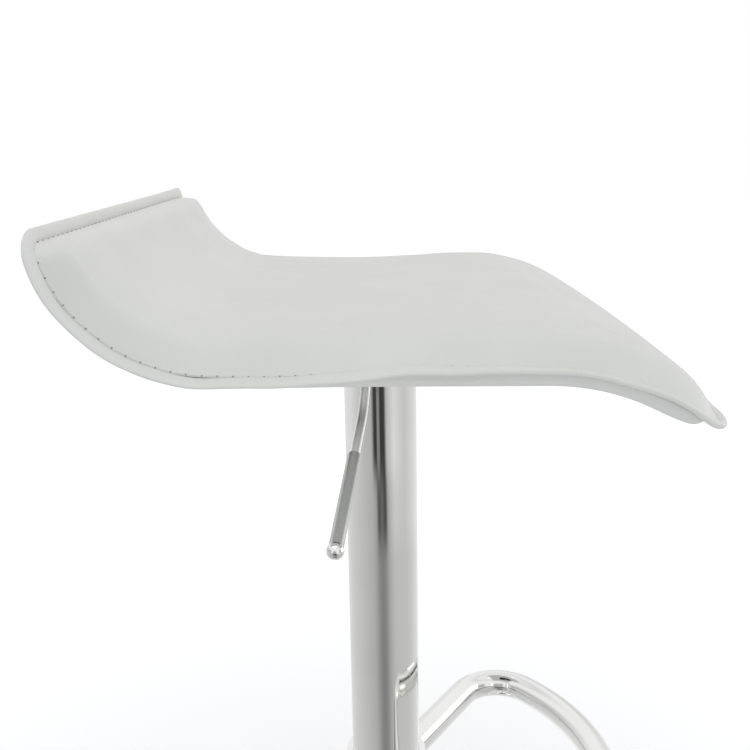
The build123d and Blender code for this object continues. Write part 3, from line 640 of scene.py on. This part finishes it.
class Finish:
    """A node material, with short calls for its textures."""

    def __init__(self, name, **sockets):
        self.material = bpy.data.materials.new(name)
        self.material.use_nodes = True
        self.tree = self.material.node_tree
        self.shader = self.tree.nodes["Principled BSDF"]
        self.place = self.tree.nodes.new("ShaderNodeTexCoord").outputs["Object"]
        for socket, value in sockets.items():
            self.shader.inputs[socket.replace("_", " ")].default_value = value

    def stretched(self, scale):
        """Object coordinates scaled along each axis."""
        mapping = self.tree.nodes.new("ShaderNodeMapping")
        mapping.inputs["Scale"].default_value = scale
        self.tree.links.new(self.place, mapping.inputs["Vector"])
        return mapping.outputs["Vector"]

    def noise(self, size, detail=3.0, place=None):
        """Noise with features of a size in metres."""
        node = self.tree.nodes.new("ShaderNodeTexNoise")
        node.inputs["Scale"].default_value = 1 / size
        node.inputs["Detail"].default_value = detail
        self.tree.links.new(place or self.place, node.inputs["Vector"])
        return node.outputs["Fac"]

    def cells(self, size, smoothness=0.6):
        """Distance within rounded cells of a size in metres."""
        node = self.tree.nodes.new("ShaderNodeTexVoronoi")
        node.feature = "SMOOTH_F1"
        node.inputs["Scale"].default_value = 1 / size
        node.inputs["Smoothness"].default_value = smoothness
        self.tree.links.new(self.place, node.inputs["Vector"])
        return node.outputs["Distance"]

    def ramp(self, value, low, high, start=0.3, end=0.7):
        """Two colours or two greys spread over a texture's values."""
        node = self.tree.nodes.new("ShaderNodeValToRGB")
        for element, where, colour in zip(node.color_ramp.elements, (start, end), (low, high)):
            element.position = where
            element.color = (*colour, 1) if hasattr(colour, "__len__") else (colour, colour, colour, 1)
        self.tree.links.new(value, node.inputs["Fac"])
        return node.outputs["Color"]

    def darken(self, first, second, share):
        """A colour multiplied by a share of a second one."""
        node = self.tree.nodes.new("ShaderNodeMix")
        node.data_type = "RGBA"
        node.blend_type = "MULTIPLY"
        node.inputs["Factor"].default_value = share
        self.tree.links.new(first, node.inputs["A"])
        self.tree.links.new(second, node.inputs["B"])
        return node.outputs["Result"]

    def to(self, value, socket):
        """Links a value to a socket of the shader."""
        self.tree.links.new(value, self.shader.inputs[socket])

    def bump(self, *heights):
        """Bumps chained on one another, each a texture, a depth in metres and a strength."""
        normal = None
        for height, depth, strength in heights:
            node = self.tree.nodes.new("ShaderNodeBump")
            node.inputs["Distance"].default_value = depth
            node.inputs["Strength"].default_value = strength
            self.tree.links.new(height, node.inputs["Height"])
            if normal:
                self.tree.links.new(normal, node.inputs["Normal"])
            normal = node.outputs["Normal"]
        self.to(normal, "Normal")


def leather(name):
    """White faux leather: pebble grain, faint mottling and a satin coat."""
    finish = Finish(name, IOR=1.46)
    mottle = finish.ramp(finish.noise(0.05, 4.0), (0.74, 0.738, 0.707), (0.77, 0.768, 0.735))
    grain = finish.cells(0.0011)
    pores = finish.ramp(grain, (0.93, 0.93, 0.92), (1.0, 1.0, 1.0), 0.05, 0.25)
    finish.to(finish.darken(mottle, pores, 0.6), "Base Color")
    finish.to(finish.ramp(finish.noise(0.004, 4.0), 0.42, 0.55), "Roughness")
    fine = finish.noise(0.0004, 2.0)
    broad = finish.noise(0.03, 2.0)
    finish.bump((grain, 0.00012, 0.5), (fine, 0.00004, 0.4), (broad, 0.0006, 0.12))
    return finish.material


def chrome(name):
    """Bright chrome plate with faint polishing marks."""
    finish = Finish(name, Metallic=1.0)
    tint = finish.noise(0.08, 2.0)
    finish.to(finish.ramp(tint, (0.80, 0.805, 0.785), (0.86, 0.865, 0.843)), "Base Color")
    marks = finish.noise(0.0012, 3.0, finish.stretched((1.0, 1.0, 0.06)))
    finish.to(finish.ramp(marks, 0.035, 0.075), "Roughness")
    finish.bump((marks, 0.000004, 0.2), (finish.noise(0.02, 1.0), 0.00003, 0.1))
    return finish.material


def satin_chrome(name, low, high, rough):
    """Satin chrome with fine lengthwise brushing."""
    finish = Finish(name, Metallic=1.0)
    finish.to(finish.ramp(finish.noise(0.03, 2.0), low, high), "Base Color")
    marks = finish.noise(0.0006, 3.0, finish.stretched((1.0, 1.0, 0.04)))
    finish.to(finish.ramp(marks, *rough), "Roughness")
    finish.bump((marks, 0.00001, 0.3))
    return finish.material


def zinc(name):
    """Zinc-plated steel: cloudy grey with fine grain."""
    finish = Finish(name, Metallic=1.0)
    clouds = finish.noise(0.006, 4.0)
    finish.to(finish.ramp(clouds, (0.46, 0.46, 0.45), (0.62, 0.62, 0.60)), "Base Color")
    finish.to(finish.ramp(finish.noise(0.0015, 4.0), 0.24, 0.42), "Roughness")
    finish.bump((finish.noise(0.0007, 3.0), 0.00003, 0.4))
    return finish.material


def enamel(name):
    """Black powder coat: orange peel over a satin black."""
    finish = Finish(name)
    tint = finish.noise(0.03, 3.0)
    finish.to(finish.ramp(tint, (0.016, 0.016, 0.017), (0.028, 0.028, 0.029)), "Base Color")
    finish.to(finish.ramp(finish.noise(0.002, 3.0), 0.38, 0.52), "Roughness")
    finish.bump((finish.noise(0.0013, 2.0), 0.00008, 0.5))
    return finish.material


def rubber(name):
    """Matt black rubber, faintly dusty."""
    finish = Finish(name)
    dust = finish.noise(0.012, 5.0)
    finish.to(finish.ramp(dust, (0.018, 0.018, 0.018), (0.045, 0.044, 0.042)), "Base Color")
    finish.to(finish.ramp(finish.noise(0.003, 3.0), 0.72, 0.9), "Roughness")
    finish.bump((finish.noise(0.0009, 3.0), 0.00006, 0.5))
    return finish.material


def moulded(name):
    """Black moulded plastic with a spark-eroded texture."""
    finish = Finish(name)
    tint = finish.noise(0.02, 3.0)
    finish.to(finish.ramp(tint, (0.020, 0.020, 0.021), (0.034, 0.034, 0.035)), "Base Color")
    finish.to(finish.ramp(finish.noise(0.0015, 3.0), 0.4, 0.55), "Roughness")
    finish.bump((finish.noise(0.0005, 2.0), 0.00004, 0.4))
    return finish.material


def plywood(name):
    """Moulded plywood: long beech grain with darker pores."""
    finish = Finish(name)
    grain = finish.noise(0.004, 6.0, finish.stretched((0.12, 1.0, 1.0)))
    finish.to(finish.ramp(grain, (0.42, 0.27, 0.14), (0.68, 0.50, 0.31)), "Base Color")
    finish.to(finish.ramp(grain, 0.5, 0.68), "Roughness")
    finish.bump((grain, 0.0001, 0.3))
    return finish.material


def thread(name):
    """Twisted off-white thread."""
    finish = Finish(name)
    twist = finish.noise(0.0006, 2.0)
    finish.to(finish.ramp(twist, (0.70, 0.70, 0.68), (0.78, 0.78, 0.755)), "Base Color")
    finish.to(finish.ramp(twist, 0.55, 0.75), "Roughness")
    finish.bump((twist, 0.0001, 0.6))
    return finish.material


def hole_shade(name):
    """Painted shade for the inside of a needle hole: a dark colour where the hole's shade would fall."""
    finish = Finish(name)
    speckle = finish.noise(0.0005, 2.0)
    # Painted shade: this dark colour stands for the shade inside the hole.
    finish.to(finish.ramp(speckle, (0.05, 0.05, 0.055), (0.12, 0.12, 0.125)), "Base Color")
    finish.to(finish.ramp(speckle, 0.8, 0.95), "Roughness")
    return finish.material


def dress(piece, material):
    """Gives a piece one material in place of any it has."""
    piece.data.materials.clear()
    piece.data.materials.append(material)


def dress_cad(finishes):
    """Gives each CAD node the finish of its slot in the record."""
    for subpart in frame["record"]["subparts"]:
        node = nodes[subpart["node"]]
        for material_slot in node.material_slots:
            material_slot.material = finishes[subpart["material_slot"]]
    for name in ("lever_rod", "lever_grip"):
        for material_slot in nodes[name].material_slots:
            material_slot.material = finishes[name]


def aim(piece, target):
    """Turns a light to face a point."""
    piece.rotation_euler = (target - piece.location).to_track_quat("-Z", "Y").to_euler()


def area_light(name, place, target, width, power, colour):
    """A soft square lamp."""
    data = bpy.data.lights.new(name, "AREA")
    data.shape = "SQUARE"
    data.size = width
    data.energy = power
    data.color = colour
    lamp = bpy.data.objects.new(name, data)
    lamp.location = place
    bpy.context.scene.collection.objects.link(lamp)
    aim(lamp, Vector(target))


def seen_share(tree):
    """One where the ray comes from the camera or from a mirror or glass, as a node output."""
    path = tree.nodes.new("ShaderNodeLightPath")
    total = path.outputs["Is Camera Ray"]
    for name in ("Is Glossy Ray", "Is Transmission Ray"):
        node = tree.nodes.new("ShaderNodeMath")
        node.operation = "MAXIMUM"
        tree.links.new(total, node.inputs[0])
        tree.links.new(path.outputs[name], node.inputs[1])
        total = node.outputs[0]
    return total


def make_world():
    """White to the eye, soft grey light to the object."""
    world = bpy.data.worlds.new("studio")
    world.use_nodes = True
    bpy.context.scene.world = world
    tree = world.node_tree
    soft = tree.nodes["Background"]
    soft.inputs["Color"].default_value = SKY_COLOUR
    soft.inputs["Strength"].default_value = SKY_STRENGTH
    white = tree.nodes.new("ShaderNodeBackground")
    white.inputs["Color"].default_value = (1, 1, 1, 1)
    white.inputs["Strength"].default_value = 1.0
    mix = tree.nodes.new("ShaderNodeMixShader")
    tree.links.new(seen_share(tree), mix.inputs["Fac"])
    tree.links.new(soft.outputs[0], mix.inputs[1])
    tree.links.new(white.outputs[0], mix.inputs[2])
    tree.links.new(mix.outputs[0], tree.nodes["World Output"].inputs["Surface"])


def spread(tree, value, stops):
    """Greys spread over a value by stops from 0 to 1, as a node output."""
    node = tree.nodes.new("ShaderNodeValToRGB")
    elements = node.color_ramp.elements
    for where, grey in stops[1:-1]:
        elements.new(where)
    for element, (where, grey) in zip(elements, stops):
        element.color = (grey, grey, grey, 1)
    tree.links.new(value, node.inputs["Fac"])
    return node.outputs["Color"]


def ring_pairs():
    """First places of each pair of neighbouring spokes of a ring."""
    return [(2 * i, 2 * ((i + 1) % ROOM_STEPS)) for i in range(ROOM_STEPS)]


def mirror_ring(name, low, high):
    """A glowing ring that only mirrors see, painting a reflection of the studio, between two circles given
    by radius and height.
    """
    vertices = []
    for i in range(ROOM_STEPS):
        turn = 2 * pi * i / ROOM_STEPS
        vertices += [(reach * sin(turn), -reach * cos(turn), height) for reach, height in (low, high)]
    mesh = bpy.data.meshes.new(name)
    mesh.from_pydata(vertices, [], [(i, i + 1, j + 1, j) for i, j in ring_pairs()])
    card = bpy.data.objects.new(name, mesh)
    bpy.context.scene.collection.objects.link(card)
    # Seen only by glossy rays, so the card is a painted reflection.
    for ray in ("camera", "diffuse", "transmission", "shadow"):
        setattr(card, "visible_" + ray, False)
    material = bpy.data.materials.new(name)
    material.use_nodes = True
    mesh.materials.append(material)
    return material.node_tree


def object_place(tree):
    """Places in the object's own frame, as a node output."""
    return tree.nodes.new("ShaderNodeTexCoord").outputs["Object"]


def bearing_greys(tree, ring):
    """Greys by the bearing round the stool, 0 degrees towards the camera, as a node output."""
    turned = tree.nodes.new("ShaderNodeMapping")
    turned.inputs["Rotation"].default_value = (0, 0, pi / 2)
    tree.links.new(object_place(tree), turned.inputs["Vector"])
    bearing = tree.nodes.new("ShaderNodeTexGradient")
    bearing.gradient_type = "RADIAL"
    tree.links.new(turned.outputs[0], bearing.inputs["Vector"])
    return spread(tree, bearing.outputs["Fac"], [(0.5 + degrees / 360, grey) for degrees, grey in ring])


def distance_out(tree):
    """Distance from the foot of the stool's axis, as a node output."""
    node = tree.nodes.new("ShaderNodeVectorMath")
    node.operation = "LENGTH"
    tree.links.new(object_place(tree), node.inputs[0])
    return node.outputs["Value"]


def height_up(tree):
    """Height over the floor, as a node output."""
    node = tree.nodes.new("ShaderNodeSeparateXYZ")
    tree.links.new(object_place(tree), node.inputs[0])
    return node.outputs["Z"]


def eased(tree, value, start, end):
    """A value eased from 0 at its start to 1 at its end, as a node output."""
    node = tree.nodes.new("ShaderNodeMapRange")
    node.interpolation_type = "SMOOTHSTEP"
    node.inputs["From Min"].default_value = start
    node.inputs["From Max"].default_value = end
    tree.links.new(value, node.inputs["Value"])
    return node.outputs[0]


def blend_greys(tree, first, second, share):
    """Two greys mixed by a share, as a node output."""
    node = tree.nodes.new("ShaderNodeMix")
    node.data_type = "RGBA"
    tree.links.new(share, node.inputs["Factor"])
    tree.links.new(first, node.inputs["A"])
    tree.links.new(second, node.inputs["B"])
    return node.outputs["Result"]


def shine(tree, colour):
    """Makes a material glow with a colour."""
    glow = tree.nodes.new("ShaderNodeEmission")
    tree.links.new(colour, glow.inputs["Color"])
    tree.links.new(glow.outputs[0], tree.nodes["Material Output"].inputs["Surface"])


def make_painted_reflections():
    """Painted reflections for the chrome: glowing floor, wall and ceiling cards that only mirrors see, the
    walls with two bright bands painted as lamps beside the camera.
    """
    # Each card glows with painted reflections: greys that only mirrors see.
    floor_edge = (ROOM_REACH, ROOM_FLOOR_HEIGHT)
    tree = mirror_ring("painted_reflection_floor", (ROOM_FLOOR_START, ROOM_FLOOR_HEIGHT), floor_edge)
    colour = bearing_greys(tree, NEAR_REFLECTION_GREYS)
    for ring, blend in zip((MID_REFLECTION_GREYS, FAR_REFLECTION_GREYS), REFLECTION_BLENDS):
        share = eased(tree, distance_out(tree), *blend)
        colour = blend_greys(tree, colour, bearing_greys(tree, ring), share)
    shine(tree, colour)

    tree = mirror_ring("painted_reflection_wall", floor_edge, (ROOM_REACH, ROOM_HEIGHT))
    lower = bearing_greys(tree, WALL_REFLECTION_GREYS)
    upper = bearing_greys(tree, WALL_TOP_REFLECTION_GREYS)
    shine(tree, blend_greys(tree, lower, upper, eased(tree, height_up(tree), *WALL_FADE)))

    tree = mirror_ring("painted_reflection_ceiling", (0.0, ROOM_HEIGHT), (ROOM_REACH, ROOM_HEIGHT))
    corner = hypot(ROOM_REACH, ROOM_HEIGHT)
    shine(tree, spread(tree, eased(tree, distance_out(tree), ROOM_HEIGHT, corner), CEILING_REFLECTION_GREYS))


def make_floor():
    """A pale floor that reads as white and still takes the shadow, with a painted shadow pool round the
    stool where its glow is weaker.
    """
    mesh = bpy.data.meshes.new("floor")
    corners = [(FLOOR_SIZE * x, FLOOR_SIZE * y, 0) for x, y in ((-1, -1), (1, -1), (1, 1), (-1, 1))]
    mesh.from_pydata(corners, [], [(0, 1, 2, 3)])
    floor = bpy.data.objects.new("floor", mesh)
    bpy.context.scene.collection.objects.link(floor)
    material = bpy.data.materials.new("pale_floor")
    material.use_nodes = True
    tree = material.node_tree
    paint = tree.nodes["Principled BSDF"]
    paint.inputs["Base Color"].default_value = FLOOR_COLOUR
    paint.inputs["Roughness"].default_value = FLOOR_ROUGHNESS
    paint.inputs["Specular IOR Level"].default_value = 0
    # Painted shadow pool: the glow is weaker near the stool, so the floor there looks shaded, and stronger
    # far off.
    near, far = FLOOR_GLOW
    lit = eased(tree, distance_out(tree), *FLOOR_GLOW_REACH).node
    lit.inputs["To Min"].default_value = near
    lit.inputs["To Max"].default_value = far
    glow = tree.nodes.new("ShaderNodeMath")
    glow.operation = "MULTIPLY"
    tree.links.new(lit.outputs[0], glow.inputs[1])
    tree.links.new(seen_share(tree), glow.inputs[0])
    paint.inputs["Emission Color"].default_value = (1, 1, 1, 1)
    tree.links.new(glow.outputs[0], paint.inputs["Emission Strength"])
    mesh.materials.append(material)


def make_camera():
    """The photograph's camera."""
    azimuth, elevation, roll = CAMERA_AZIMUTH, CAMERA_ELEVATION, CAMERA_ROLL
    back = Vector((sin(azimuth) * cos(elevation), -cos(azimuth) * cos(elevation), sin(elevation)))
    level_right = Vector((cos(azimuth), sin(azimuth), 0))
    level_up = back.cross(level_right)
    right = level_right * cos(roll) + level_up * sin(roll)
    up = level_up * cos(roll) - level_right * sin(roll)
    data = bpy.data.cameras.new("photo_camera")
    data.sensor_width = SENSOR_WIDTH
    data.lens = FOCAL_PIXELS / PHOTO_PIXELS * SENSOR_WIDTH
    camera = bpy.data.objects.new("photo_camera", data)
    turn = Matrix((right, up, back)).transposed().to_4x4()
    camera.matrix_world = Matrix.Translation(CAMERA_TARGET + back * CAMERA_DISTANCE) @ turn
    bpy.context.scene.collection.objects.link(camera)
    bpy.context.scene.camera = camera


bpy.context.scene.view_settings.view_transform = "Standard"
make_camera()
make_world()
make_floor()
make_painted_reflections()
for lamp in LAMPS:
    area_light(*lamp)

white = leather("white_leather")
finishes = {
    "white_leather": white,
    "chrome": chrome("chrome"),
    "lever_rod": satin_chrome("satin_rod", (0.93, 0.94, 0.93), (0.97, 0.98, 0.97), (0.40, 0.50)),
    "lever_grip": satin_chrome("satin_grip", (0.52, 0.53, 0.515), (0.575, 0.585, 0.57), (0.27, 0.36)),
    "zinc_steel": zinc("zinc_steel"),
    "black_enamel": enamel("black_enamel"),
    "black_rubber": rubber("black_rubber"),
    "black_plastic": moulded("black_plastic"),
    "plywood": plywood("plywood"),
    "foam": white,
}
dress_cad(finishes)
hole_places, hole_ups = stitch_places()
dress(make_pad(), white)
dress(make_flange(), white)
dress(make_shell(), white)
dress(make_thread(hole_places, hole_ups), thread("seam_thread"))
dress(make_needle_holes(hole_places, hole_ups), hole_shade("needle_hole"))
